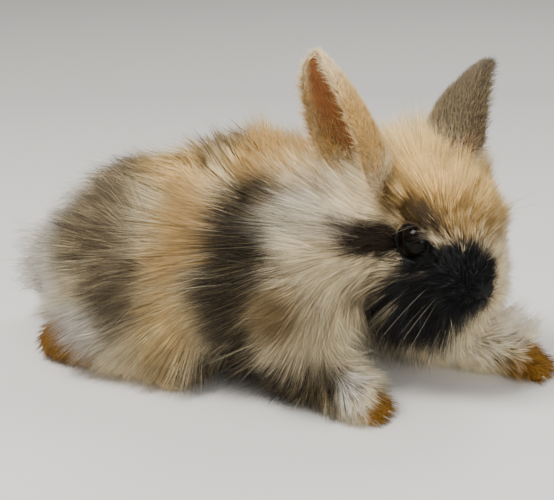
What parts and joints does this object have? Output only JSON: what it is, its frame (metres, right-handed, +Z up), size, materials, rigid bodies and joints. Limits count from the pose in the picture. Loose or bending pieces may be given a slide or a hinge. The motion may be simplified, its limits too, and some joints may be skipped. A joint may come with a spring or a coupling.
{
  "type": "lionhead rabbit kit model",
  "caption": "Life-size still model of a young lionhead rabbit crouching low, with upright ears, a long mane and its head turned a little to its right.",
  "frame": {"origin": "on the floor, under the middle of the model's bounding box", "axes": "+X the way the body faces, +Y to the rabbit's left, +Z up from the floor"},
  "size_m": [0.1794, 0.0876, 0.1038],
  "materials": {
    "eye": "wet gloss, near black",
    "ear_coat": "short dense fur",
    "face_coat": "short dense fur",
    "mane_coat": "long silky fur",
    "body_coat": "long soft fur",
    "tail_coat": "long soft fur",
    "leg_coat": "short fur",
    "flank_coat": "long soft fur"
  },
  "bodies": {
    "root": {"eye_right": "eye", "eye_left": "eye", "ear_right": "ear_coat", "ear_left": "ear_coat", "head": "face_coat", "neck": "mane_coat", "torso": "body_coat", "tail": "tail_coat", "fore_leg_right": "leg_coat", "fore_leg_left": "leg_coat", "hind_foot_right": "leg_coat", "hind_foot_left": "leg_coat", "hind_leg_right": "flank_coat", "hind_leg_left": "flank_coat"}
  },
  "joints": []
}
